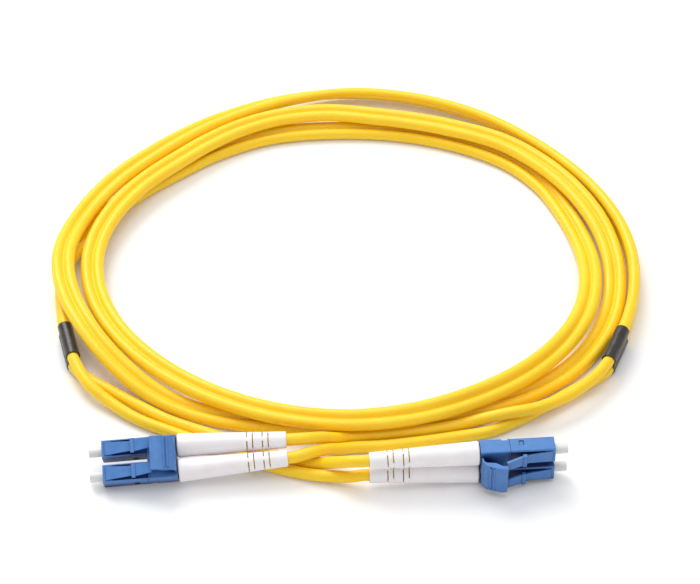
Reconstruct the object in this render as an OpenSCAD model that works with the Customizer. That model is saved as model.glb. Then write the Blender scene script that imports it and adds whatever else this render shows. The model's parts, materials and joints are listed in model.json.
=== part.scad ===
// Duplex LC fiber optic patch cord, coiled as it lies on a table, with a two-plug connector at each end.
// Plug frame: the nose's front face is x = 0 and looks along +x, the pair lies along y, the latches face +z.
// The two plugs of a connector sit at y = +/- plug_pitch / 2.

/* [Cord] */
// Diameter of one strand of the bonded pair, and of each single leg
strand_d = 3; // [2.8:0.05:3]
// Distance between the two strand centres in the bonded pair
strand_pitch = 3.1; // [3.05:0.01:3.15]
// Half thickness of the web that bonds the two strands
web_half = 0.55; // [0.3:0.05:0.8]
// Half width of the coil's base ellipse
coil_rx = 67; // [66:0.5:70]
// Half depth of the coil's base ellipse
coil_ry = 58.5; // [58:0.5:62]

/* [Split sleeves] */
// Length of the shrunk sleeve over each split
sleeve_len = 12; // [11:0.5:15]
// Wall of the shrunk sleeve
sleeve_wall = 0.35; // [0.25:0.05:0.6]
// Clearance between the sleeve and the strands inside it
sleeve_gap = 0.05; // [0.03:0.01:0.15]

/* [Plug] */
// Side of the square nose
nose_side = 4.52; // [4.4:0.02:4.6]
// Length of the nose housing
nose_len = 10.9; // [10.9:0.1:11.1]
// Distance between the two plug axes of a connector
plug_pitch = 6.25; // [6.2:0.01:6.3]
// Side of the square rear body, inside the clip
rear_side = 3.4; // [3.3:0.02:3.5]
// Length of the square rear body
rear_len = 7.4; // [7.35:0.05:7.6]
// Running clearance between sliding round pieces, on the radius
run_gap = 0.02; // [0.01:0.005:0.03]
// Clearance between pieces that are assembled and stay put
seat_gap = 0.05; // [0.02:0.01:0.08]

/* [Ferrule and spring] */
// Diameter of the ceramic ferrule
ferrule_d = 1.25; // [1.2:0.01:1.3]
// How far the ferrule stands out of the nose
ferrule_proud = 1.6; // [1.2:0.1:2]
// Diameter of the ferrule holder's flange
flange_d = 2.6; // [2.5:0.02:2.64]
// Wire diameter of the ferrule spring
spring_wire = 0.3; // [0.24:0.02:0.32]
// Turns of the ferrule spring
spring_turns = 4; // [3:1:4]
// Diameter of the buffered fiber
fiber_d = 0.9; // [0.6:0.05:0.95]

/* [Dust cap] */
// Outer diameter of the ferrule cap
cap_d = 2.5; // [2.2:0.05:2.55]
// Length of the ferrule cap
cap_len = 5.4; // [4.8:0.1:5.6]
// How far the cap stands out of the nose
cap_proud = 3.3; // [2.9:0.1:3.4]

/* [Latch and trigger] */
// Width of the latch arm at its tail
latch_w = 2.5; // [2.2:0.1:2.7]
// Width across the latch's two locking shoulders
shoulder_w = 3.6; // [3.2:0.1:3.7]
// Width of the trigger that spans both latches
trigger_w = 8.3; // [7.8:0.1:8.8]
// Height of the trigger's top above the plug axis
trigger_top = 6.7; // [6.6:0.1:7]
// Radius of the trigger's hinge pin
hinge_r = 0.45; // [0.35:0.05:0.5]

/* [Clip] */
// Length of the clip along the plugs
clip_len = 7.2; // [7:0.05:7.2]

/* [Boot and crimp] */
// Length of the strain relief boot
boot_len = 26.7; // [26:0.1:27.4]
// Outer diameter of the boot at the plug
boot_front_d = 5.95; // [5.6:0.05:6]
// Outer diameter of the boot at its tail
boot_tail_d = 4.1; // [4:0.05:4.4]
// Outer diameter of the crimp sleeve
crimp_d = 3.4; // [3.3:0.05:3.5]
// Width of one flex slot in the boot
slot_w = 0.3; // [0.2:0.05:0.6]

/* [Hidden] */
$fn = 48;
ENDS = ["a", "b"];
PLUG_PARTS = ["housing", "latch", "rear_body", "ferrule", "ferrule_holder", "spring", "buffered_fiber",
    "crimp_sleeve", "boot", "dust_cap"];
PLUGS = ["a1", "a2", "b1", "b2"];

yellow = [0.98, 0.82, 0.12];
blue = [0.22, 0.47, 0.76];
white = [0.94, 0.93, 0.93];
dark = [0.17, 0.15, 0.14];
steel = [0.72, 0.73, 0.75];

// Everything is laid out with x = 0 between the two connectors, then moved so that the connectors'
// box is centred on the origin.
layout_shift = [5.48, 3.82, 0];

// The clip is as deep as the noses, so that they run on into it without a step.
clip_side = nose_side / 2;
// Where each connector lies: the middle of the pair at the nose face, and its roll, pitch and yaw.
CONNECTOR_AT = [[-60.4, -3.75, 4.325], [49.7, -3.25, plug_pitch / 2 + boot_front_d / 2]];
CONNECTOR_TURN = [[-27, 3, 183.7], [90, 0, 4.3]];
// How far each boot leans towards its neighbour, in degrees.
BOOT_LEAN = [1.7, 1.3];

// Places along a plug, as distances behind the nose face.
cap_back = cap_len - cap_proud;
flange_front = 3;
flange_back = 4.6;
spring_back = 7.2;
rear_front = nose_len + seat_gap;
rear_back = rear_front + rear_len;
clip_inset = 0.15;
clip_back = rear_back - clip_inset;
clip_front = clip_back - clip_len;
post_len = 5;
post_back = rear_back + post_len;
boot_gap = 0.1;
boot_front = rear_back + boot_gap;
crimp_front = boot_front;
crimp_over_leg = 1.6;
crimp_back = post_back + crimp_over_leg;
leg_front = post_back;

/* ---- vectors ---- */
function unit(v) = v / norm(v);
function turn_x(v, a) = [v.x, v.y * cos(a) - v.z * sin(a), v.y * sin(a) + v.z * cos(a)];
function turn_y(v, a) = [v.x * cos(a) + v.z * sin(a), v.y, v.z * cos(a) - v.x * sin(a)];
function turn_z(v, a) = [v.x * cos(a) - v.y * sin(a), v.x * sin(a) + v.y * cos(a), v.z];
function turned(v, a) = turn_z(turn_y(turn_x(v, a.x), a.y), a.z);
function end_of(plug) = plug[0] == "a" ? 0 : 1;
function side_of(plug) = plug[1] == "1" ? 1 : -1;
// A point of the plug frame, moved onto the table.
function on_table(e, p) = CONNECTOR_AT[e] + turned(p, CONNECTOR_TURN[e]);

/* ---- the coil's route ---- */
coil_mid = [-2, 69.5];
coil_start = -23;
coil_end = 922;
coil_step = 9;
end_straight = 5;
// Along the coil: angle, distance outside the base ellipse, height, roll of the pair (outer strand up).
STATIONS = [
    [-27, 11.8, 3.6, -90], [-15, 11, 3.6, -90], [5, 10.5, 3.6, -85], [30, 10.2, 3.5, -74],
    [45, 11.2, 3.4, -65], [62, 13.8, 3.3, -56], [78, 15.4, 3.2, -48], [90, 15.4, 3.2, -42],
    [102, 12.9, 3.8, -30], [115, 9.6, 4.5, -20], [135, 5.8, 5.4, -6], [150, 5.8, 5.4, 0],
    [163, 6.3, 5.5, 0], [171, 6.7, 6.3, 0], [180, 7, 7.9, 0], [189, 6.9, 8.6, 2], [203, 6.4, 8.6, 8],
    [213, 6.1, 7.2, 4], [220, 5.7, 5.4, 0], [226, 5.3, 3.8, 0], [232, 4.5, 2.4, 0], [238, 3.5, 1.7, 0],
    [247, 1.9, 1.6, 0], [258, -0.2, 1.6, 0], [270, -2, 1.6, 0], [288, -1.5, 1.6, 0], [299, 0.5, 1.6, 0],
    [309, 2.9, 1.6, 0], [317, 4.4, 1.6, 0], [324, 5.4, 1.6, 0], [333, 5.9, 1.6, 0], [345, 5.9, 1.6, 0],
    [355, 5.7, 2.1, 0], [365, 5.4, 3.1, 0], [375, 4.9, 4.3, 0], [387, 4.3, 5.3, 0], [400, 4.5, 5.3, 0],
    [411, 4.6, 5.3, 0], [425, 3.3, 5.2, 0], [441, 2.8, 5.2, 0], [454, 4.2, 5.2, 0], [465, 4, 5.2, 0],
    [475, 2.6, 5.2, 0], [485, 0.6, 5.2, 0], [495, -0.9, 5.2, 0], [510, -1, 5.2, 0], [523, -0.7, 5.2, 0],
    [540, -0.4, 5.2, 0], [585, -1.2, 5.2, 0], [630, 0.8, 5.35, -8], [645, 1, 5.65, -18],
    [660, 0.8, 5.9, -27], [675, 0.8, 5.95, -28], [688, 0.6, 5.8, -24], [700, 0, 5.3, -14],
    [710, -0.7, 4.4, -5], [719, -1.1, 3.3, 0], [728, -1.2, 2.2, 0], [736, -1, 1.65, 0],
    [745, -0.3, 1.6, 0], [756, 1.4, 1.6, 0], [768, 2.4, 1.6, 0], [785, 1.6, 1.6, 0], [810, 0.5, 1.6, 0],
    [828, 0.8, 1.6, 0], [842, -0.1, 1.6, 0], [855, -0.8, 1.6, 0], [868, 0.6, 1.6, 0], [882, 3, 1.6, 0],
    [890, 4.4, 1.76, -6], [895, 5.5, 2.42, -34], [900, 6.5, 2.97, -60], [908, 7.8, 3.6, -90],
    [918, 9.6, 3.6, -90], [927, 11.4, 3.6, -90]
];

function station_before(t, i = 0) =
    i >= len(STATIONS) - 2 || t < STATIONS[i + 1][0] ? i : station_before(t, i + 1);
function station(i) = STATIONS[max(0, min(len(STATIONS) - 1, i))];
function station_slope(i, k) =
    (station(i + 1)[k] - station(i - 1)[k]) / (station(i + 1)[0] - station(i - 1)[0]);
// A smooth step from a to b with the end slopes ma and mb, at u from 0 to 1.
function smooth(a, b, ma, mb, u) =
    (2 * u ^ 3 - 3 * u ^ 2 + 1) * a + (u ^ 3 - 2 * u ^ 2 + u) * ma
    + (3 * u ^ 2 - 2 * u ^ 3) * b + (u ^ 3 - u ^ 2) * mb;
function coil_value(t, k) =
    let (i = station_before(t), h = station(i + 1)[0] - station(i)[0])
    smooth(station(i)[k], station(i + 1)[k], station_slope(i, k) * h, station_slope(i + 1, k) * h,
        (t - station(i)[0]) / h);
function coil_normal(t) = unit([coil_ry * cos(t), coil_rx * sin(t), 0]);
function coil_point(t) =
    [coil_mid.x + coil_rx * cos(t), coil_mid.y + coil_ry * sin(t), coil_value(t, 2)]
    + coil_value(t, 1) * coil_normal(t);
function coil_roll(t) = coil_value(t, 3);
function pair_axis(t) = coil_normal(t) * cos(coil_roll(t)) + [0, 0, sin(coil_roll(t))];
function flat(v) = unit([v.x, v.y, 0]);
start_dir = flat(coil_point(coil_start) - coil_point(coil_start + 1));
end_dir = flat(coil_point(coil_end) - coil_point(coil_end - 1));
// Where the pair splits into legs: a point and the way out, for each end.
SPLIT_AT = [coil_point(coil_start) + end_straight * start_dir, coil_point(coil_end) + end_straight * end_dir];
SPLIT_DIR = [start_dir, end_dir];

coil_angles = [for (t = [coil_start : coil_step : coil_end]) t];
coil_rings = concat([SPLIT_AT[0]], [for (t = coil_angles) coil_point(t)], [SPLIT_AT[1]]);
coil_axes = concat([[0, 0, -1]], [for (t = coil_angles) pair_axis(t)], [[0, 0, -1]]);

/* ---- the legs' routes, each from its plug to its split ---- */
leg_step = 8;
LEG_A1 = [
    [-9.5, -1.1, 5.7], [-6, 1.1, 4.4], [-2.5, 3, 2.6], [1.5, 4.4, 1.7], [8, 4.9, 1.6], [17, 6.2, 1.6],
    [27, 8.1, 1.6], [34.5, 9.8, 1.6], [42.6, 14, 1.6], [50, 19.2, 1.6], [56.5, 24, 1.6], [62.6, 28.3, 1.8]
];
LEG_A2 = [
    [-10.3, 1.9, 7.5], [-7, 3.7, 5.9], [-4, 5.5, 3.8], [0, 7.6, 1.9], [8, 8.8, 1.6], [17, 10, 1.6],
    [26, 11.7, 1.7], [32.5, 12.8, 2.9], [39, 13.2, 4.6], [47.5, 15.3, 4.8], [55.5, 19.7, 4.8],
    [62.2, 26.1, 4.9]
];
LEG_B1 = [
    [0.5, -6.3, 8], [-2, -5.2, 6.6], [-4.4, -3.7, 4.8], [-6.8, -2.3, 3.1], [-9.8, -1.2, 1.9],
    [-13, -0.1, 1.6], [-18, 1.7, 1.6], [-27, 5.6, 1.6], [-36.5, 9.6, 1.6], [-46, 14, 1.6], [-54.7, 19.8, 1.6],
    [-61, 24.3, 1.6], [-66.6, 28.3, 1.6]
];
LEG_B2 = [
    [0, -6.5, 2.8], [-5, -5.6, 2], [-11, -4.4, 1.6], [-18, -2.4, 1.6], [-25.5, 0.6, 1.6],
    [-31, 3.1, 1.6], [-37.5, 6.4, 1.6], [-45, 9.9, 1.6], [-53.5, 14.3, 1.6], [-61, 19.7, 2.5],
    [-66.5, 24.6, 4]
];
LEG_POINTS = [LEG_A1, LEG_A2, LEG_B1, LEG_B2];
// Height of each leg in its split: 1 for the upper strand, -1 for the lower.
LEG_STRAND = [-1, 1, -1, 1];

// Where a boot's own axis lies in the plug frame, at a distance behind the boot's front.
function boot_axis(plug, d) =
    let (e = end_of(plug), s = side_of(plug))
    [-boot_front - d * cos(BOOT_LEAN[e]), s * (plug_pitch / 2 - d * sin(BOOT_LEAN[e])), 0];
function leg_route(k) =
    let (
        plug = PLUGS[k],
        e = end_of(plug),
        y = side_of(plug) * plug_pitch / 2,
        split = SPLIT_AT[e] + [0, 0, LEG_STRAND[k] * strand_pitch / 2]
    )
    concat(
        [for (p = [[-leg_front, y, 0], [-leg_front - strand_d, y, 0], boot_axis(plug, boot_len),
            boot_axis(plug, boot_len + 1.5)]) on_table(e, p)],
        LEG_POINTS[k],
        [for (d = [sleeve_len / 2 + 0.5, strand_d, 0]) split + d * SPLIT_DIR[e]]
    );
function route_slope(p, i) =
    let (a = max(0, i - 1), b = min(len(p) - 1, i + 1))
    (p[b] - p[a]) / (norm(p[b] - p[i]) + norm(p[i] - p[a]));
function route_rings(p) = concat(
    [for (i = [0 : len(p) - 2])
        let (h = norm(p[i + 1] - p[i]), n = max(1, round(h / leg_step)))
        for (j = [0 : n - 1])
            smooth(p[i], p[i + 1], route_slope(p, i) * h, route_slope(p, i + 1) * h, j / n)],
    [p[len(p) - 1]]);

/* ---- a tube swept along rings ---- */
function along(p, i) = unit(p[min(len(p) - 1, i + 1)] - p[max(0, i - 1)]);
// The section's points are [a, b]: a along the ring's own axis and b square to it and to the route.
function tube_points(p, axes, section) =
    [for (i = [0 : len(p) - 1])
        let (
            t = along(p, i),
            b = unit(cross(t, axes[i])),
            a = cross(b, t)
        )
        for (q = section) p[i] + q[0] * a + q[1] * b];
function tube_sides(rings, n) =
    [for (i = [0 : rings - 2]) for (j = [0 : n - 1]) for (half = [0, 1])
        let (a = i * n + j, b = i * n + (j + 1) % n)
        half == 0 ? [a, b, b + n] : [a, b + n, a + n]];
function shifted(face, by) = [for (v = face) v + by];
module tube(p, axes, section) {
    rings = len(p);
    n = len(section);
    ends = [
        for (j = [1 : n - 2]) [0, j + 1, j],
        for (j = [1 : n - 2]) shifted([0, j, j + 1], (rings - 1) * n)
    ];
    polyhedron(tube_points(p, axes, section), concat(tube_sides(rings, n), ends), convexity = 8);
}

/* ---- cord pieces ---- */
strand_r = strand_d / 2;
lobe_turns = [-104 : 52 : 104];
pair_section = concat(
    [for (a = lobe_turns) [strand_pitch / 2 + strand_r * cos(a), strand_r * sin(a)]],
    [[0, web_half]],
    [for (a = lobe_turns) [-strand_pitch / 2 - strand_r * cos(a), -strand_r * sin(a)]],
    [[0, -web_half]]);
leg_sides = 8;
leg_section = [for (j = [0 : leg_sides - 1]) strand_r * [cos(360 * j / leg_sides), sin(360 * j / leg_sides)]];

// Least gap between one part of the coil and another, over both strands.
gap_step = 3;
gap_apart = 24;
function strand_samples(s) =
    [for (t = [coil_start : gap_step : coil_end]) [t, coil_point(t) + s * strand_pitch / 2 * pair_axis(t)]];
function coil_gap() =
    let (all = concat(strand_samples(-1), strand_samples(1)))
    min([for (i = [0 : len(all) - 2]) for (j = [i + 1 : len(all) - 1])
        if (abs(all[i][0] - all[j][0]) > gap_apart) norm(all[i][1] - all[j][1])]) - strand_d;

module zipcord() {
    echo(coil_least_gap = coil_gap());
    color(yellow) tube(coil_rings, coil_axes, pair_section);
}

module leg(k) {
    rings = route_rings(leg_route(k));
    color(yellow) tube(rings, [for (p = rings) [0, 0, 1]], leg_section);
}

module stadium(width, height) {
    square([width, height - width], center = true);
    for (s = [-1, 1]) translate([0, s * (height - width) / 2]) circle(d = width);
}

module split_sleeve(e) {
    bore_w = strand_d + 2 * sleeve_gap;
    bore_h = strand_pitch + bore_w;
    color(dark) translate(SPLIT_AT[e]) rotate([90, 0, atan2(SPLIT_DIR[e].y, SPLIT_DIR[e].x) + 90])
        linear_extrude(sleeve_len, center = true) difference() {
            stadium(bore_w + 2 * sleeve_wall, bore_h + 2 * sleeve_wall);
            stadium(bore_w, bore_h);
        }
}

/* ---- placing ---- */
module on_connector(e) translate(CONNECTOR_AT[e]) rotate(CONNECTOR_TURN[e]) children();
module on_plug(plug) on_connector(end_of(plug)) translate([0, side_of(plug) * plug_pitch / 2, 0]) children();
module on_boot(plug) on_plug(plug) translate([-boot_front, 0, 0])
    rotate([0, 0, side_of(plug) * BOOT_LEAN[end_of(plug)]]) children();
// A cylinder along x from one distance behind the nose to another.
module rod(from, to, d, d2 = 0) translate([-from, 0, 0]) rotate([0, -90, 0])
    cylinder(h = to - from, d1 = d, d2 = d2 > 0 ? d2 : d);
// A box behind the nose, from one distance to another, of the given width along y and height range.
module block(from, to, width, low, high) translate([-to, -width / 2, low])
    cube([to - from, width, high - low]);
// A side outline of [distance behind the nose, height] points, as thick as width.
module profile(points, width) rotate([90, 0, 0]) linear_extrude(width, center = true)
    polygon([for (p = points) [-p[0], p[1]]]);
// A bar along y.
module cross_rod(from, z, r, width) translate([-from, 0, z]) rotate([90, 0, 0])
    cylinder(h = width, r = r, center = true);

/* ---- plug pieces ---- */
flange_gap = 0.1;
cavity_d = flange_d + 2 * flange_gap;
cap_gap = 0.1;
front_bore_d = cap_d + 2 * cap_gap;
post_d = 2;
fiber_gap = 0.05;
fiber_bore_d = fiber_d + 2 * fiber_gap;
cladding_bore_d = 0.126;
overlap = 0.1;
holder_tail_d = 1.6;
holder_back = 6.4;
holder_room = 1.6;
holder_gap = 0.1;
ferrule_back = 5.2;
travel = 1;
window_front = 7.5;
window_len = 1.2;
window_h = 1.6;
window_z = -0.5;
edge = 0.2;
// The latch: its root, the bend where its arm leaves the nose, its shoulders and its tail.
latch_root = 1;
latch_z = 2.15;
latch_r = 0.38;
latch_root_w = 3.4;
latch_bend = 6.4;
latch_bend_z = 2.48;
latch_tail = 12.2;
latch_tail_z = 4.6;
latch_thick = 0.55;
latch_back_w = 3.1;
shoulder_at = 7.6;
shoulder_len = 0.95;
shoulder_low = 2.95;
shoulder_high = 3.75;
// The trough in the nose's top, into which the arm is pressed.
trough_front = 2.4;
trough_w = 3.8;
trough_floor = 1.72;

module chamfered_nose() {
    intersection() {
        block(0, nose_len, nose_side, -nose_side / 2, nose_side / 2);
        rotate([45, 0, 0]) block(0, nose_len, nose_side * sqrt(2) - 2 * edge, -nose_side / sqrt(2) + edge,
            nose_side / sqrt(2) - edge);
    }
}

module housing() {
    color(blue) difference() {
        chamfered_nose();
        rod(-1, flange_front, front_bore_d);
        rod(flange_front, nose_len + 1, cavity_d);
        block(latch_root, trough_front + 1, latch_root_w + 2 * seat_gap, trough_floor, nose_side);
        block(trough_front, nose_len + 1, trough_w, trough_floor, nose_side);
        cross_rod(latch_root, latch_z, latch_r + seat_gap, latch_root_w + 2 * seat_gap);
        block(window_front, window_front + window_len, nose_side + 1, window_z - window_h / 2,
            window_z + window_h / 2);
    }
}

module latch() {
    color(blue) {
        cross_rod(latch_root, latch_z, latch_r, latch_root_w);
        intersection() {
            profile([
                [latch_root, latch_z - 0.2],
                [latch_bend, latch_bend_z],
                [latch_tail, latch_tail_z],
                [latch_tail - overlap, latch_tail_z + latch_thick],
                [latch_bend, latch_bend_z + latch_thick],
                [latch_root, latch_z + latch_r]
            ], latch_root_w);
            linear_extrude(latch_tail) for (s = [-1, 1]) polygon([
                [-latch_root, 0],
                [-latch_root, s * latch_root_w / 2],
                [-latch_bend, s * latch_w / 2],
                [-shoulder_at, s * latch_w / 2],
                [-shoulder_at, s * latch_back_w / 2],
                [-latch_tail, s * latch_w / 2],
                [-latch_tail, 0]
            ]);
        }
        block(shoulder_at - shoulder_len / 2, shoulder_at + shoulder_len / 2, shoulder_w,
            shoulder_low, shoulder_high);
    }
}

module rear_body() {
    spigot_d = cavity_d - 2 * run_gap;
    tab_depth = 0.2;
    tab_gap = 0.1;
    tab_h = window_h - 2 * tab_gap;
    color(blue) difference() {
        union() {
            rod(spring_back, rear_front + overlap, spigot_d);
            block(rear_front, rear_back, rear_side, -rear_side / 2, rear_side / 2);
            rod(rear_back - overlap, post_back, post_d);
            translate([0, 0, window_z])
                block(window_front + tab_gap, window_front + window_len - tab_gap, nose_side - 2 * tab_depth,
                    -tab_h / 2, tab_h / 2);
        }
        rod(spring_back - 1, spring_back + holder_room, holder_tail_d + 2 * holder_gap);
        rod(spring_back, post_back + 1, fiber_bore_d);
    }
}

module ferrule() {
    tip = 0.2;
    color(white) difference() {
        union() {
            rod(-ferrule_proud + tip, ferrule_back, ferrule_d);
            rod(-ferrule_proud, -ferrule_proud + tip, ferrule_d - 2 * tip, ferrule_d);
        }
        rod(-ferrule_proud - 1, ferrule_back + 1, cladding_bore_d);
    }
}

module ferrule_holder() {
    color(steel) difference() {
        union() {
            rod(flange_front, flange_back, flange_d);
            rod(flange_back - overlap, holder_back, holder_tail_d);
        }
        rod(flange_front - 1, ferrule_back, ferrule_d);
        rod(ferrule_back - overlap, holder_back + 1, fiber_bore_d);
    }
}

spring_d = 2.1;
spring_rings = 10;
spring_section = [for (j = [0 : 5]) spring_wire / 2 * [cos(60 * j), sin(60 * j)]];
module spring() {
    from = flange_back + spring_wire / 2 + run_gap;
    to = spring_back - spring_wire / 2 - run_gap;
    turns = spring_turns * spring_rings;
    wire = [for (i = [0 : turns])
        let (a = 360 * i / spring_rings, u = i / turns)
        [-from - (to - from) * u, spring_d / 2 * cos(a), spring_d / 2 * sin(a)]];
    color(steel) tube(wire, [for (p = wire) [1, 0, 0]], spring_section);
}

module buffered_fiber() {
    color(yellow) rod(holder_back + travel + overlap, post_back, fiber_d);
}

module crimp_sleeve() {
    color(steel) difference() {
        rod(crimp_front, crimp_back, crimp_d);
        rod(crimp_front - 1, post_back, post_d + 2 * run_gap);
        rod(post_back, crimp_back + 1, strand_d + 2 * run_gap);
    }
}

boot_bore_front = crimp_d + 1;
tail_gap = 0.15;
boot_bore_tail = strand_d + 2 * tail_gap;
rim = 0.25;
// The two groups of flex slots: distance of each slot from the tail, and the quarter turn that it faces.
SLOTS = [[4.4, 0], [5.8, 1], [8.2, 0], [9.6, 1]];
slot_reach = 3;
slot_rib = 0.5;
module boot() {
    color(white) difference() {
        rotate([0, -90, 0]) rotate_extrude() polygon([
            [boot_bore_front / 2, 0],
            [boot_front_d / 2 - rim, 0],
            [boot_front_d / 2, rim],
            [boot_tail_d / 2, boot_len - rim],
            [boot_tail_d / 2 - rim / 2, boot_len],
            [boot_bore_tail / 2, boot_len]
        ]);
        for (slot = SLOTS) for (half = [0, 180])
            translate([-boot_len + slot[0], 0, 0]) rotate([90 * slot[1] + half, 0, 0])
                translate([-slot_w / 2, -slot_reach, slot_rib]) cube([slot_w, 2 * slot_reach, slot_reach]);
    }
}

module dust_cap() {
    end = 0.4;
    color(white) difference() {
        union() {
            rod(-cap_proud + edge, cap_back, cap_d);
            rod(-cap_proud, -cap_proud + edge, cap_d - edge, cap_d);
        }
        rod(-cap_proud + end, cap_back + 1, ferrule_d + 2 * run_gap);
    }
}

/* ---- clip and trigger ---- */
hinge_inset = 0.9;
hinge_at = clip_back - hinge_inset;
hinge_rise = 0.15;
hinge_z = clip_side + hinge_r + hinge_rise;
lug_r = 0.9;
lug_w = 2;
lug_gap = 0.1;
clip_half = plug_pitch / 2 + clip_side;
pocket = rear_side + 2 * seat_gap;
grip_front = 0.3;
grip_back = 1.9;
grip_depth = 1;
grip_h = 0.6;

module clip_outline() {
    h = clip_side;
    w = clip_half;
    polygon([[-w + edge, -h], [w - edge, -h], [w, -h + edge], [w, h - edge], [w - edge, h], [-w + edge, h],
        [-w, h - edge], [-w, -h + edge]]);
}

// Both plugs are held by one block, and the trigger's hinge is a lug between them.
module duplex_clip() {
    color(blue) difference() {
        union() {
            translate([-clip_front, 0, 0]) rotate([90, 0, -90]) linear_extrude(clip_len) clip_outline();
            block(hinge_at - lug_r, clip_back, lug_w, clip_side - overlap, hinge_z);
            cross_rod(hinge_at, hinge_z, lug_r, lug_w);
        }
        for (s = [-1, 1]) translate([0, s * plug_pitch / 2, 0]) {
            block(clip_front - 1, clip_back + 1, pocket, -pocket / 2, pocket / 2);
            block(clip_front - 1, clip_back + 1, rear_side / 2, -clip_side - 1, 0);
        }
        for (s = [-1, 1]) translate([0, s * clip_half, -clip_side])
            block(clip_front + grip_front, clip_front + grip_back, 2 * grip_depth, -grip_h, grip_h);
        cross_rod(hinge_at, hinge_z, hinge_r + run_gap, lug_w + 1);
    }
}

// Ridges across the trigger: distance in front of its hinge, and distance below its top.
RIDGES = [[2, 0.75], [1.2, 1.05]];
ridge_r = 0.3;
ridge_gap = 0.5;
trigger_front = 5.3;
trigger_under = 5.75;
cheek_w = 5;
module trigger() {
    color(blue) {
        difference() {
            union() {
                profile([
                    [hinge_at + 0.8, hinge_z - 0.3],
                    [hinge_at + 0.8, hinge_z + 0.6],
                    [hinge_at + 0.4, trigger_top - 2.3],
                    [hinge_at - 0.3, trigger_top - 1.5],
                    [hinge_at - 1.8, trigger_top - 0.7],
                    [hinge_at - 3.3, trigger_top - 0.2],
                    [hinge_at - 4.3, trigger_top],
                    [hinge_at - trigger_front + 0.2, trigger_top - 0.05],
                    [hinge_at - trigger_front, trigger_top - 0.25],
                    [hinge_at - trigger_front, trigger_under],
                    [hinge_at - 4, trigger_under - 0.1],
                    [hinge_at - 2.5, trigger_under - 1.2],
                    [hinge_at - 0.3, trigger_under - 1.5],
                    [hinge_at + 0.25, trigger_under - 2],
                    [hinge_at + 0.35, hinge_z - 0.3]
                ], trigger_w);
                // Two cheeks, either side of the clip's lug, carry the hinge pin.
                profile([
                    [hinge_at + 0.5, hinge_z - 0.3],
                    [hinge_at + 0.5, trigger_under - 1.4],
                    [hinge_at - 0.6, trigger_under - 1.4],
                    [hinge_at - 0.6, hinge_z - 0.2]
                ], cheek_w);
            }
            cross_rod(hinge_at, hinge_z, lug_r + lug_gap, lug_w + 2 * lug_gap);
        }
        cross_rod(hinge_at, hinge_z, hinge_r, cheek_w);
        for (ridge = RIDGES)
            cross_rod(hinge_at - ridge[0], trigger_top - ridge[1], ridge_r, trigger_w - 2 * ridge_gap);
    }
}

/* ---- the assembly ---- */
module placed() translate(layout_shift) children();

placed() zipcord();
for (e = [0, 1]) {
    placed() split_sleeve(e);
    placed() on_connector(e) duplex_clip();
    placed() on_connector(e) trigger();
}
for (k = [0 : len(PLUGS) - 1]) {
    plug = PLUGS[k];
    placed() leg(k);
    placed() on_plug(plug) housing();
    placed() on_plug(plug) latch();
    placed() on_plug(plug) rear_body();
    placed() on_plug(plug) ferrule();
    placed() on_plug(plug) ferrule_holder();
    placed() on_plug(plug) spring();
    placed() on_plug(plug) buffered_fiber();
    placed() on_plug(plug) crimp_sleeve();
    placed() on_boot(plug) boot();
    placed() on_plug(plug) dust_cap();
}
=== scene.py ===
import json
import math

import bpy
from mathutils import Matrix, Vector, noise


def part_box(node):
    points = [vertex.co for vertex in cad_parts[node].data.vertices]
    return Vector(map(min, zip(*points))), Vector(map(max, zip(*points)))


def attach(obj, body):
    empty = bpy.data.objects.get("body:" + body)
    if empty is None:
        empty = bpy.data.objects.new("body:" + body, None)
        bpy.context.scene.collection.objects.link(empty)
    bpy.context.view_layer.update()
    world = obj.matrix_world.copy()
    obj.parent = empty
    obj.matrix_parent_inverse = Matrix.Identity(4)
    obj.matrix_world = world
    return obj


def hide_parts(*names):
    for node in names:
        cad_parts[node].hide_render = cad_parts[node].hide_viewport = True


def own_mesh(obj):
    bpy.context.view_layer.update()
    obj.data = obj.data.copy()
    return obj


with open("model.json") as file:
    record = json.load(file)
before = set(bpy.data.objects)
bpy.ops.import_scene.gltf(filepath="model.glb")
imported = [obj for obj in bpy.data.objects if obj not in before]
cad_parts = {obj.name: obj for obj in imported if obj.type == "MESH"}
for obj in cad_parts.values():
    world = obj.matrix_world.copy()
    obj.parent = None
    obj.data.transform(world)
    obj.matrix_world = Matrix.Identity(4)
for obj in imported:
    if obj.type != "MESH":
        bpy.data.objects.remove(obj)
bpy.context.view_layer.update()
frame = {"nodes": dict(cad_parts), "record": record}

MM = 0.001

# ---------------------------------------------------------------- the cord's sizes and route, in millimetres
LAYOUT_SHIFT = Vector((5.48, 3.82, 0))
STRAND_D = 3.0
STRAND_PITCH = 3.1
WEB_HALF = 0.55
COIL_MID = Vector((-2, 69.5, 0))
COIL_RX, COIL_RY = 67.0, 58.5
COIL_START, COIL_END = -23, 922
END_STRAIGHT = 5
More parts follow.
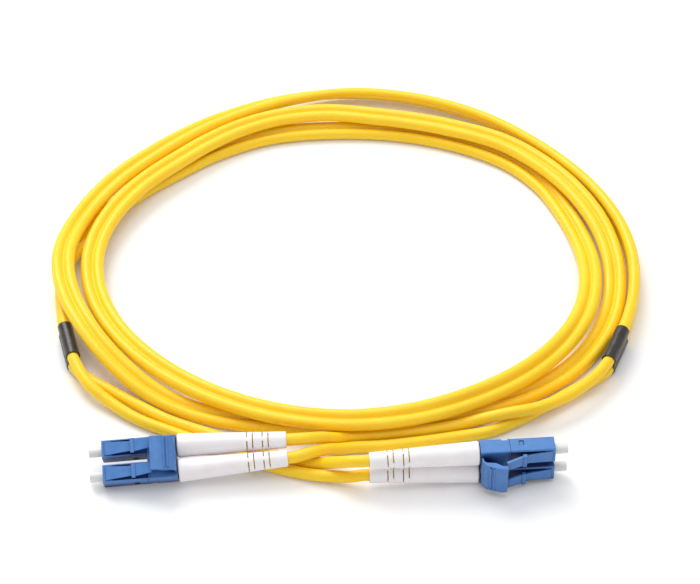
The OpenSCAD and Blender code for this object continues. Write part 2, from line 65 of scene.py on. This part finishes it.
# Along the coil: angle, distance outside the base ellipse, height, roll of the pair (outer strand up).
STATIONS = [
    (-27, 11.8, 3.6, -90), (-15, 11, 3.6, -90), (5, 10.5, 3.6, -85), (30, 10.2, 3.5, -74),
    (45, 11.2, 3.4, -65), (62, 13.8, 3.3, -56), (78, 15.4, 3.2, -48), (90, 15.4, 3.2, -42),
    (102, 12.9, 3.8, -30), (115, 9.6, 4.5, -20), (135, 5.8, 5.4, -6), (150, 5.8, 5.4, 0),
    (163, 6.3, 5.5, 0), (171, 6.7, 6.3, 0), (180, 7, 7.9, 0), (189, 6.9, 8.6, 2), (203, 6.4, 8.6, 8),
    (213, 6.1, 7.2, 4), (220, 5.7, 5.4, 0), (226, 5.3, 3.8, 0), (232, 4.5, 2.4, 0), (238, 3.5, 1.7, 0),
    (247, 1.9, 1.6, 0), (258, -0.2, 1.6, 0), (270, -2, 1.6, 0), (288, -1.5, 1.6, 0), (299, 0.5, 1.6, 0),
    (309, 2.9, 1.6, 0), (317, 4.4, 1.6, 0), (324, 5.4, 1.6, 0), (333, 5.9, 1.6, 0), (345, 5.9, 1.6, 0),
    (355, 5.7, 2.1, 0), (365, 5.4, 3.1, 0), (375, 4.9, 4.3, 0), (387, 4.3, 5.3, 0), (400, 4.5, 5.3, 0),
    (411, 4.6, 5.3, 0), (425, 3.3, 5.2, 0), (441, 2.8, 5.2, 0), (454, 4.2, 5.2, 0), (465, 4, 5.2, 0),
    (475, 2.6, 5.2, 0), (485, 0.6, 5.2, 0), (495, -0.9, 5.2, 0), (510, -1, 5.2, 0), (523, -0.7, 5.2, 0),
    (540, -0.4, 5.2, 0), (585, -1.2, 5.2, 0), (630, 0.8, 5.35, -8), (645, 1, 5.65, -18),
    (660, 0.8, 5.9, -27), (675, 0.8, 5.95, -28), (688, 0.6, 5.8, -24), (700, 0, 5.3, -14),
    (710, -0.7, 4.4, -5), (719, -1.1, 3.3, 0), (728, -1.2, 2.2, 0), (736, -1, 1.65, 0),
    (745, -0.3, 1.6, 0), (756, 1.4, 1.6, 0), (768, 2.4, 1.6, 0), (785, 1.6, 1.6, 0), (810, 0.5, 1.6, 0),
    (828, 0.8, 1.6, 0), (842, -0.1, 1.6, 0), (855, -0.8, 1.6, 0), (868, 0.6, 1.6, 0), (882, 3, 1.6, 0),
    (890, 4.4, 1.76, -6), (895, 5.5, 2.42, -34), (900, 6.5, 2.97, -60), (908, 7.8, 3.6, -90),
    (918, 9.6, 3.6, -90), (927, 11.4, 3.6, -90),
]
# Each leg's points between its boot and its split. The keys are the four plugs.
LEG_POINTS = {
    "a1": [
        (-9.5, -1.1, 5.7), (-6, 1.1, 4.4), (-2.5, 3, 2.6), (1.5, 4.4, 1.7), (8, 4.9, 1.6), (17, 6.2, 1.6),
        (27, 8.1, 1.6), (34.5, 9.8, 1.6), (42.6, 14, 1.6), (50, 19.2, 1.6), (56.5, 24, 1.6),
        (62.6, 28.3, 1.8),
    ],
    "a2": [
        (-10.3, 1.9, 7.5), (-7, 3.7, 5.9), (-4, 5.5, 3.8), (0, 7.6, 1.9), (8, 8.8, 1.6), (17, 10, 1.6),
        (26, 11.7, 1.7), (32.5, 12.8, 2.9), (39, 13.2, 4.6), (47.5, 15.3, 4.8), (55.5, 19.7, 4.8),
        (62.2, 26.1, 4.9),
    ],
    "b1": [
        (0.5, -6.3, 8), (-2, -5.2, 6.6), (-4.4, -3.7, 4.8), (-6.8, -2.3, 3.1), (-9.8, -1.2, 1.9),
        (-13, -0.1, 1.6), (-18, 1.7, 1.6), (-27, 5.6, 1.6), (-36.5, 9.6, 1.6), (-46, 14, 1.6),
        (-54.7, 19.8, 1.6), (-61, 24.3, 1.6), (-66.6, 28.3, 1.6),
    ],
    "b2": [
        (0, -6.5, 2.8), (-5, -5.6, 2), (-11, -4.4, 1.6), (-18, -2.4, 1.6), (-25.5, 0.6, 1.6),
        (-31, 3.1, 1.6), (-37.5, 6.4, 1.6), (-45, 9.9, 1.6), (-53.5, 14.3, 1.6), (-61, 19.7, 2.5),
        (-66.5, 24.6, 4),
    ],
}
LEG_STRAND = {"a1": -1, "a2": 1, "b1": -1, "b2": 1}  # the lower or the upper strand at the split
LEG_STEP = 0.8
SLEEVE_LEN = 12.0
SLEEVE_OUTER_R = 1.9
SLEEVE_INNER_R = 1.55
SLEEVE_MOUTH = 0.5  # from the sleeve's end to the leg's first point outside it

# Where each connector lies: the middle of the pair at the nose face, and its roll, pitch and yaw in degrees.
PLUG_PITCH = 6.25
CONNECTOR_AT = {"a": Vector((-60.4, -3.75, 4.325)), "b": Vector((49.7, -3.25, 6.1))}
CONNECTOR_TURN = {"a": (-27, 3, 183.7), "b": (90, 0, 4.3)}
BOOT_LEAN = {"a": 1.7, "b": 1.3}
BOOT_LEN = 26.7
BOOT_FRONT = 18.45
BOOT_TAIL = 1.5  # the straight run of a leg behind its boot
LEG_FRONT = 23.35


# ---------------------------------------------------------------- routes
def smooth(a, b, slope_a, slope_b, u):
    """The cubic from a to b with those end slopes, at u from 0 to 1."""
    return (
        (2 * u**3 - 3 * u**2 + 1) * a + (u**3 - 2 * u**2 + u) * slope_a
        + (3 * u**2 - 2 * u**3) * b + (u**3 - u**2) * slope_b
    )


def coil_value(t, k):
    last = len(STATIONS) - 1
    i = 0
    while i < last - 1 and t >= STATIONS[i + 1][0]:
        i += 1

    def slope(j):
        before, after = STATIONS[max(0, j - 1)], STATIONS[min(last, j + 1)]
        return (after[k] - before[k]) / (after[0] - before[0])

    here, there = STATIONS[i], STATIONS[i + 1]
    span = there[0] - here[0]
    return smooth(here[k], there[k], slope(i) * span, slope(i + 1) * span, (t - here[0]) / span)


def coil_normal(t):
    a = math.radians(t)
    return Vector((COIL_RY * math.cos(a), COIL_RX * math.sin(a), 0)).normalized()


def coil_point(t):
    a = math.radians(t)
    base = COIL_MID + Vector((COIL_RX * math.cos(a), COIL_RY * math.sin(a), coil_value(t, 2)))
    return base + coil_value(t, 1) * coil_normal(t)


def pair_axis(t):
    roll = math.radians(coil_value(t, 3))
    return coil_normal(t) * math.cos(roll) + Vector((0, 0, math.sin(roll)))


def flat(v):
    return Vector((v.x, v.y, 0)).normalized()


SPLIT_DIR = {
    "a": flat(coil_point(COIL_START) - coil_point(COIL_START + 1)),
    "b": flat(coil_point(COIL_END) - coil_point(COIL_END - 1)),
}
SPLIT_AT = {
    "a": coil_point(COIL_START) + END_STRAIGHT * SPLIT_DIR["a"],
    "b": coil_point(COIL_END) + END_STRAIGHT * SPLIT_DIR["b"],
}


def connector_matrix(end):
    roll, pitch, yaw = (math.radians(a) for a in CONNECTOR_TURN[end])
    turn = Matrix.Rotation(pitch, 4, "Y") @ Matrix.Rotation(roll, 4, "X")
    return Matrix.Translation(CONNECTOR_AT[end]) @ Matrix.Rotation(yaw, 4, "Z") @ turn


def leg_route(plug):
    """A leg's points from inside its crimp sleeve to its split, in the layout's millimetres."""
    end, side = plug[0], 1 if plug[1] == "1" else -1
    place = connector_matrix(end)
    lean = math.radians(BOOT_LEAN[end])

    def boot_axis(d):
        return (-BOOT_FRONT - d * math.cos(lean), side * (PLUG_PITCH / 2 - d * math.sin(lean)), 0)

    y = side * PLUG_PITCH / 2
    near = [(-LEG_FRONT, y, 0), (-LEG_FRONT - STRAND_D, y, 0)]
    near += [boot_axis(BOOT_LEN), boot_axis(BOOT_LEN + BOOT_TAIL)]
    split = SPLIT_AT[end] + Vector((0, 0, LEG_STRAND[plug] * STRAND_PITCH / 2))
    far = [split + d * SPLIT_DIR[end] for d in (SLEEVE_LEN / 2 + SLEEVE_MOUTH, STRAND_D, 0)]
    return [place @ Vector(p) for p in near] + [Vector(p) for p in LEG_POINTS[plug]] + far


def smooth_route(points, step):
    """The smooth curve through the points, with a point about every step."""

    def slope(i):
        before, after = points[max(0, i - 1)], points[min(len(points) - 1, i + 1)]
        return (after - before) / ((after - points[i]).length + (points[i] - before).length)

    curve = []
    for i in range(len(points) - 1):
        a, b = points[i], points[i + 1]
        h = (b - a).length
        n = max(1, round(h / step))
        curve += [smooth(a, b, slope(i) * h, slope(i + 1) * h, j / n) for j in range(n)]
    return curve + [points[-1]]


# ---------------------------------------------------------------- meshes
def mesh_object(name, points, faces, material):
    """A mesh from points in millimetres of the layout, placed in the frame."""
    mesh = bpy.data.meshes.new(name)
    mesh.from_pydata([(p + LAYOUT_SHIFT) * MM for p in points], [], faces)
    mesh.validate()
    mesh.polygons.foreach_set("use_smooth", [True] * len(mesh.polygons))
    mesh.update()
    piece = bpy.data.objects.new(name, mesh)
    bpy.context.collection.objects.link(piece)
    mesh.materials.append(material)
    return piece


def swept(route, axes, section_at):
    """Rings of points along a route. section_at(i) gives [(along the axis, across it)] of ring i."""
    rings = []
    last = len(route) - 1
    for i, point in enumerate(route):
        tangent = (route[min(last, i + 1)] - route[max(0, i - 1)]).normalized()
        across = tangent.cross(axes[i]).normalized()
        axis = across.cross(tangent)
        rings.append([point + a * axis + b * across for a, b in section_at(i)])
    return rings


def tube_faces(rings, count, closed_ends):
    faces = []
    for i in range(rings - 1):
        here, there = i * count, (i + 1) * count
        for j in range(count):
            k = (j + 1) % count
            faces.append((here + j, here + k, there + k, there + j))
    if closed_ends:
        faces.append(tuple(reversed(range(count))))
        faces.append(tuple(range((rings - 1) * count, rings * count)))
    return faces


# ---------------------------------------------------------------- materials
def srgb(r, g, b):
    """A colour given in 0 to 255 display values, as the linear values a shader takes."""

    def linear(c):
        c /= 255
        return c / 12.92 if c <= 0.04045 else ((c + 0.055) / 1.055) ** 2.4

    return (linear(r), linear(g), linear(b), 1)


MOTTLE_SPAN = (0.35, 0.65)  # the part of a noise over which one colour turns into the other
PAINTED_RECESS_SHADE_SPAN = (0.42, 0.9)  # the openness at which the painted shade in a recess is darkest, and where that painted shade ends
MIX_COLOUR_A, MIX_COLOUR_B, MIX_COLOUR_RESULT = 6, 7, 2  # the Mix node's colour sockets


class Finish:
    """A Principled material, with helpers that add the detail of a real surface, and one that paints shade
    into its recesses.
    """

    def __init__(self, name, colour, roughness, **sockets):
        self.material = bpy.data.materials.new(name)
        self.material.use_nodes = True
        self.tree = self.material.node_tree
        self.shader = self.tree.nodes["Principled BSDF"]
        self.shader.inputs["Base Color"].default_value = colour
        self.shader.inputs["Roughness"].default_value = roughness
        for socket, value in sockets.items():
            self.shader.inputs[socket.replace("_", " ")].default_value = value
        self.colour = colour
        self.roughness = roughness
        self.place = self.node("ShaderNodeTexCoord").outputs["Object"]
        self.normal = None

    def node(self, kind, **values):
        made = self.tree.nodes.new(kind)
        for key, value in values.items():
            if key in made.inputs:
                made.inputs[key].default_value = value
            else:
                setattr(made, key, value)
        return made

    def link(self, a, b):
        self.tree.links.new(a, b)

    def noise(self, size_mm, detail=2.0, stretch=(1, 1, 1)):
        """A noise whose features are about size_mm across."""
        mapping = self.node("ShaderNodeMapping")
        mapping.inputs["Scale"].default_value = [s / (size_mm * MM) for s in stretch]
        self.link(self.place, mapping.inputs["Vector"])
        made = self.node("ShaderNodeTexNoise", Scale=1.0, Detail=detail)
        self.link(mapping.outputs["Vector"], made.inputs["Vector"])
        return made.outputs["Fac"]

    def ramp(self, source, span, colours):
        """Turns a value into a colour: the first up to the span's start, the second from its end."""
        made = self.node("ShaderNodeValToRGB")
        for element, position, colour in zip(made.color_ramp.elements, span, colours):
            element.position = position
            element.color = colour
        self.link(source, made.inputs["Fac"])
        return made.outputs["Color"]

    def vary_colour(self, other, size_mm, detail=3.0):
        mottle = self.ramp(self.noise(size_mm, detail), MOTTLE_SPAN, (self.colour, other))
        self.link(mottle, self.shader.inputs["Base Color"])

    def vary_roughness(self, spread, size_mm):
        span = self.node("ShaderNodeMapRange")
        span.inputs["To Min"].default_value = self.roughness - spread
        span.inputs["To Max"].default_value = self.roughness + spread
        self.link(self.noise(size_mm), span.inputs["Value"])
        self.link(span.outputs["Result"], self.shader.inputs["Roughness"])

    def paint_recess_shade(self, reach_mm, deepest_painted_shade):
        """Paints shade into the colour where the surface is closed in: an ambient-occlusion mask darkens the
        base colour where shade falls in corners and recesses.
        """
        openness = self.node("ShaderNodeAmbientOcclusion", samples=12)
        openness.inputs["Distance"].default_value = reach_mm * MM
        shade = self.ramp(openness.outputs["AO"], PAINTED_RECESS_SHADE_SPAN, (deepest_painted_shade, (1, 1, 1, 1)))
        product = self.node("ShaderNodeMix", data_type="RGBA", blend_type="MULTIPLY")
        product.inputs["Factor"].default_value = 1
        base = self.shader.inputs["Base Color"]
        self.link(base.links[0].from_socket, product.inputs[MIX_COLOUR_A])
        self.link(shade, product.inputs[MIX_COLOUR_B])
        self.link(product.outputs[MIX_COLOUR_RESULT], base)

    def bump(self, size_mm, depth_mm, strength, stretch=(1, 1, 1)):
        made = self.node("ShaderNodeBump", Strength=strength, Distance=depth_mm * MM)
        self.link(self.noise(size_mm, stretch=stretch), made.inputs["Height"])
        if self.normal:
            self.link(self.normal, made.inputs["Normal"])
        self.normal = made.outputs["Normal"]
        self.link(self.normal, self.shader.inputs["Normal"])
        return self


def jacket_finish():
    finish = Finish(
        "jacket_yellow", srgb(255, 211, 26), 0.42,
        Subsurface_Weight=0.3, Subsurface_Scale=0.0015, Subsurface_Radius=(1, 0.5, 0.1),
    )
    finish.vary_colour(srgb(254, 207, 16), 9, detail=2)
    finish.vary_roughness(0.07, 3)
    return finish.bump(0.35, 0.012, 0.5).bump(2.6, 0.03, 0.35).material


def blue_finish():
    finish = Finish("connector_blue", srgb(75, 128, 194), 0.36)
    finish.vary_colour(srgb(68, 121, 187), 1.6)
    # painted shade: the blue goes down to deep navy where the surface is closed in, such as under the latch
    # arm
    finish.paint_recess_shade(3.5, (0.0, 0.07, 0.24, 1))
    finish.vary_roughness(0.06, 0.9)
    return finish.bump(0.09, 0.006, 0.6).bump(1.2, 0.01, 0.3).material


def boot_finish():
    finish = Finish(
        "boot_white", srgb(247, 242, 244), 0.45, Subsurface_Weight=0.08, Subsurface_Scale=0.0015,
    )
    finish.vary_colour(srgb(241, 236, 238), 4)
    finish.vary_roughness(0.06, 1.5)
    return finish.bump(0.12, 0.006, 0.5).bump(2, 0.012, 0.3).material


def cap_finish():
    finish = Finish("cap_translucent", srgb(246, 246, 244), 0.38, Transmission_Weight=0.25, IOR=1.5)
    finish.vary_roughness(0.06, 0.8)
    return finish.bump(0.5, 0.01, 0.4).material


def shrink_finish():
    finish = Finish("shrink_black", srgb(38, 33, 30), 0.34)
    finish.vary_colour(srgb(52, 46, 42), 1.4)
    finish.vary_roughness(0.08, 0.8)
    return finish.bump(0.5, 0.03, 0.6).bump(0.1, 0.006, 0.5).material


def ceramic_finish():
    finish = Finish("ferrule_zirconia", srgb(244, 243, 240), 0.16)
    finish.vary_roughness(0.03, 0.5)
    return finish.bump(0.08, 0.001, 0.3).material


def metal_finish(name, colour, roughness, size_mm):
    finish = Finish(name, colour, roughness, Metallic=1.0)
    finish.vary_roughness(0.08, size_mm)
    return finish.bump(size_mm / 3, 0.003, 0.4, stretch=(1, 4, 4)).material


def buffer_finish():
    finish = Finish("fiber_buffer", srgb(250, 214, 60), 0.4)
    finish.vary_roughness(0.05, 0.6)
    return finish.bump(0.3, 0.004, 0.4).material


FINISH = {
    "jacket": jacket_finish(),
    "blue_plastic": blue_finish(),
    "boot_white": boot_finish(),
    "cap_clear": cap_finish(),
    "shrink_black": shrink_finish(),
    "zirconia": ceramic_finish(),
    "holder_metal": metal_finish("holder_metal", srgb(196, 198, 200), 0.3, 0.4),
    "spring_steel": metal_finish("spring_steel", srgb(170, 172, 176), 0.25, 0.3),
    "crimp_metal": metal_finish("crimp_metal", srgb(205, 205, 205), 0.35, 0.5),
    "buffer": buffer_finish(),
}


# ---------------------------------------------------------------- the camera
CAMERA_TILT = math.radians(43)
CAMERA_DISTANCE = 642
CAMERA_TARGET = Vector((0, 62.6, 0))
SENSOR_WIDTH = 36
FOCAL_PIXELS = 2415
IMAGE_WIDTH = 700


def make_camera():
    target = (CAMERA_TARGET + LAYOUT_SHIFT) * MM
    data = bpy.data.cameras.new("camera")
    data.sensor_width = SENSOR_WIDTH
    data.lens = SENSOR_WIDTH * FOCAL_PIXELS / IMAGE_WIDTH
    camera = bpy.data.objects.new("camera", data)
    back = Vector((0, -math.cos(CAMERA_TILT), math.sin(CAMERA_TILT)))
    camera.location = target + CAMERA_DISTANCE * MM * back
    camera.rotation_euler = (math.pi / 2 - CAMERA_TILT, 0, 0)
    bpy.context.collection.objects.link(camera)
    bpy.context.scene.camera = camera


make_camera()


# ---------------------------------------------------------------- cords
SWELL, SWELL_SPAN = 0.02, 7
LOBE_ANGLES = [math.radians(a) for a in range(-150, 151, 15)]
LEG_SIDES = 22


def jacket_swell(point):
    """How far the jacket stands proud at a point: an extruded jacket is never quite even."""
    return SWELL * noise.noise(point / SWELL_SPAN)


def circle(r, sides):
    turns = [2 * math.pi * j / sides for j in range(sides)]
    return [(r * math.cos(a), r * math.sin(a)) for a in turns]


def fixed_piece(name, rings, closed_ends, finish, node):
    """A tube from its rings, which stands for a CAD node of the cord's body and has that node's slot."""
    points = [p for ring in rings for p in ring]
    faces = tube_faces(len(rings), len(rings[0]), closed_ends)
    piece = mesh_object(name, points, faces, FINISH[finish])
    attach(piece, "cord")
    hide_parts(node)
    return piece


def pair_section(swell):
    r = STRAND_D / 2 + swell
    half = STRAND_PITCH / 2
    right = [(half + r * math.cos(a), r * math.sin(a)) for a in LOBE_ANGLES]
    left = [(-a, -b) for a, b in right]
    return right + [(0, WEB_HALF)] + left + [(0, -WEB_HALF)]


def make_zipcord():
    angles = range(COIL_START, COIL_END + 1)
    route = [SPLIT_AT["a"]] + [coil_point(t) for t in angles] + [SPLIT_AT["b"]]
    axes = [Vector((0, 0, -1))] + [pair_axis(t) for t in angles] + [Vector((0, 0, -1))]
    rings = swept(route, axes, lambda i: pair_section(jacket_swell(route[i])))
    return fixed_piece("cord_pair", rings, True, "jacket", "zipcord"), route


def make_leg(plug):
    route = smooth_route(leg_route(plug), LEG_STEP)
    up = [Vector((0, 0, 1))] * len(route)
    rings = swept(route, up, lambda i: circle(STRAND_D / 2 + jacket_swell(route[i]), LEG_SIDES))
    return fixed_piece("cord_leg_" + plug, rings, True, "jacket", "leg_" + plug), route


SLEEVE_WAIST = 0.34  # how far the sleeve is drawn in between its strands
SLEEVE_ROLL = 0.15  # the length of its rolled end
SLEEVE_UNEVEN = 0.05
SLEEVE_SLANT = {"a": 0.22, "b": -0.18}  # how much its ends lean, as a share of its length
SLEEVE_ARC = [math.radians(a) for a in range(-90, 91, 15)]
SLEEVE_LENGTH_STEPS, SLEEVE_ACROSS_STEPS = 40, 8


def make_sleeve(end):
    """The shrunk sleeve over a split: two lobes with a drawn-in waist, and rolled, uneven ends."""
    out = SPLIT_DIR[end]
    up = Vector((0, 0, 1))
    side = out.cross(up).normalized()

    def outline(r):
        half = STRAND_PITCH / 2
        steps = SLEEVE_ACROSS_STEPS
        top = [(half + r * math.cos(a), r * math.sin(a)) for a in SLEEVE_ARC]
        falling = [half - STRAND_PITCH * (j + 1) / steps for j in range(steps - 1)]
        down = [(h, r - SLEEVE_WAIST * math.cos(math.pi * h / STRAND_PITCH)) for h in falling]
        half_turn = top + down
        return half_turn + [(-h, -w) for h, w in half_turn]

    def ring(s, r):
        placed = []
        for h, w in outline(r):
            uneven = SLEEVE_UNEVEN * noise.noise(Vector((h * 0.5, w * 0.5, s * 0.35 + ord(end))))
            grow = 1 + uneven / r
            at = SPLIT_AT[end] + (s + SLEEVE_SLANT[end] * h / STRAND_PITCH * s / SLEEVE_LEN) * out
            placed.append(at + h * grow * up + w * grow * side)
        return placed

    half_len = SLEEVE_LEN / 2 - SLEEVE_ROLL
    # From inside the mouth outwards: distance past the straight part, radius.
    lip = [(-1.0, SLEEVE_INNER_R), (-0.05, SLEEVE_INNER_R + 0.03), (0.1, SLEEVE_OUTER_R - 0.18)]
    steps = SLEEVE_LENGTH_STEPS
    rings = [ring(-half_len - s, r) for s, r in lip]
    rings += [ring(-half_len + 2 * half_len * i / steps, SLEEVE_OUTER_R) for i in range(steps + 1)]
    rings += [ring(half_len + s, r) for s, r in reversed(lip)]
    return fixed_piece("shrink_sleeve_" + end, rings, False, "shrink_black", "split_sleeve_" + end)


def make_cords():
    sleeves = {end: make_sleeve(end) for end in "ab"}
    cord_pair, route = make_zipcord()
    for plug in LEG_POINTS:
        leg, route = make_leg(plug)


make_cords()


# ---------------------------------------------------------------- the springs behind the ferrules
SPRING_ROOM = 2.6  # between the flange and the rear body, with the ferrule forward
SPRING_PLAY = 0.04
SPRING_D, SPRING_WIRE, SPRING_TURNS = 2.1, 0.3, 4
SPRING_STEPS, SPRING_SIDES = 24, 8  # points in a turn, and around the wire


def make_spring(plug):
    """A wound spring, at the length it has with its ferrule forward."""
    nose = connector_matrix(plug[0]).to_3x3() @ Vector((1, 0, 0))
    low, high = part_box("spring_" + plug)
    centre = (Vector(low) + Vector(high)) / 2 / MM - LAYOUT_SHIFT
    side = nose.cross(Vector((0, 0, 1))).normalized()
    up = side.cross(nose)
    length = SPRING_ROOM - SPRING_WIRE - SPRING_PLAY
    steps = SPRING_STEPS * SPRING_TURNS
    route = []
    for i in range(steps + 1):
        a = 2 * math.pi * i / SPRING_STEPS
        along = length * (0.5 - i / steps)
        route.append(centre + along * nose + SPRING_D / 2 * (math.cos(a) * side + math.sin(a) * up))
    rings = swept(route, [nose] * len(route), lambda i: circle(SPRING_WIRE / 2, SPRING_SIDES))
    piece = fixed_piece("wound_spring_" + plug, rings, True, "spring_steel", "spring_" + plug)
    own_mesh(piece)


for each_plug in LEG_POINTS:
    make_spring(each_plug)


# ---------------------------------------------------------------- the connectors' own nodes
BEVEL_WIDTH = {
    "housing": 0.16, "latch": 0.14, "rear_body": 0.16, "duplex_clip": 0.18, "trigger": 0.2, "boot": 0.12,
    "dust_cap": 0.15, "ferrule": 0.05, "crimp_sleeve": 0.06,
}
BEVEL_ANGLE = math.radians(40)  # edges that turn by less stay as they are


def dress_cad_nodes():
    slots = {part["node"]: part["material_slot"] for part in frame["record"]["subparts"]}
    for name, node in frame["nodes"].items():
        for slot in node.material_slots:
            slot.material = FINISH[slots[name]]
        kind = next((k for k in BEVEL_WIDTH if name.startswith(k)), None)
        if kind:
            bevel = node.modifiers.new("rounded_edges", "BEVEL")
            bevel.width = BEVEL_WIDTH[kind] * MM
            bevel.segments = 2
            bevel.limit_method = "ANGLE"
            bevel.angle_limit = BEVEL_ANGLE


dress_cad_nodes()


# ---------------------------------------------------------------- the studio
FLOOR_HALF = 3.0
FLOOR_GLOW = 0.05
WORLD_LIGHT = 0.64


def seen_white(tree, shaded, strength):
    """Adds a glow that only a ray that looks at the surface sees, so that it lights nothing."""
    rays = tree.nodes.new("ShaderNodeLightPath")
    glow = tree.nodes.new("ShaderNodeEmission")
    glow.inputs["Strength"].default_value = strength
    nothing = tree.nodes.new("ShaderNodeEmission")
    nothing.inputs["Strength"].default_value = 0
    looking = rays.outputs["Is Camera Ray"]
    for kind in ("Is Glossy Ray", "Is Transmission Ray"):
        either = tree.nodes.new("ShaderNodeMath")
        either.operation = "MAXIMUM"
        tree.links.new(looking, either.inputs[0])
        tree.links.new(rays.outputs[kind], either.inputs[1])
        looking = either.outputs[0]
    choose = tree.nodes.new("ShaderNodeMixShader")
    tree.links.new(looking, choose.inputs["Fac"])
    tree.links.new(nothing.outputs[0], choose.inputs[1])
    tree.links.new(glow.outputs[0], choose.inputs[2])
    total = tree.nodes.new("ShaderNodeAddShader")
    tree.links.new(shaded, total.inputs[0])
    tree.links.new(choose.outputs[0], total.inputs[1])
    return total.outputs[0]


def make_floor():
    signs = [(-1, -1), (1, -1), (1, 1), (-1, 1)]
    corners = [(x * FLOOR_HALF, y * FLOOR_HALF, 0) for x, y in signs]
    mesh = bpy.data.meshes.new("floor")
    mesh.from_pydata(corners, [], [(0, 1, 2, 3)])
    floor = bpy.data.objects.new("floor", mesh)
    bpy.context.collection.objects.link(floor)
    material = bpy.data.materials.new("floor_white")
    material.use_nodes = True
    tree = material.node_tree
    tree.nodes.remove(tree.nodes["Principled BSDF"])
    shade = tree.nodes.new("ShaderNodeBsdfDiffuse")
    shade.inputs["Color"].default_value = (0.9, 0.9, 0.905, 1)
    output = tree.nodes["Material Output"]
    tree.links.new(seen_white(tree, shade.outputs[0], FLOOR_GLOW), output.inputs["Surface"])
    mesh.materials.append(material)


def make_world():
    world = bpy.data.worlds.new("studio")
    bpy.context.scene.world = world
    world.use_nodes = True
    tree = world.node_tree
    light = tree.nodes["Background"]
    light.inputs["Color"].default_value = (1, 1, 1, 1)
    light.inputs["Strength"].default_value = WORLD_LIGHT
    seen = tree.nodes.new("ShaderNodeBackground")
    seen.inputs["Color"].default_value = (1, 1, 1, 1)
    seen.inputs["Strength"].default_value = 1.0
    rays = tree.nodes.new("ShaderNodeLightPath")
    choose = tree.nodes.new("ShaderNodeMixShader")
    tree.links.new(rays.outputs["Is Camera Ray"], choose.inputs["Fac"])
    tree.links.new(light.outputs[0], choose.inputs[1])
    tree.links.new(seen.outputs[0], choose.inputs[2])
    tree.links.new(choose.outputs[0], tree.nodes["World Output"].inputs["Surface"])


def area_light(name, at, target, size, power):
    data = bpy.data.lights.new(name, "AREA")
    data.shape = "DISK"
    data.size = size
    data.energy = power
    lamp = bpy.data.objects.new(name, data)
    lamp.location = at
    lamp.rotation_mode = "QUATERNION"
    lamp.rotation_quaternion = (Vector(target) - Vector(at)).to_track_quat("-Z", "Y")
    bpy.context.collection.objects.link(lamp)


make_floor()
make_world()
area_light("key", (-0.4, 0.8, 0.95), (0, 0.05, 0), 0.85, 10.2)
area_light("overhead", (0.1, 0.1, 1.3), (0, 0.05, 0), 1.0, 4.0)

bpy.context.scene.view_settings.view_transform = "Standard"
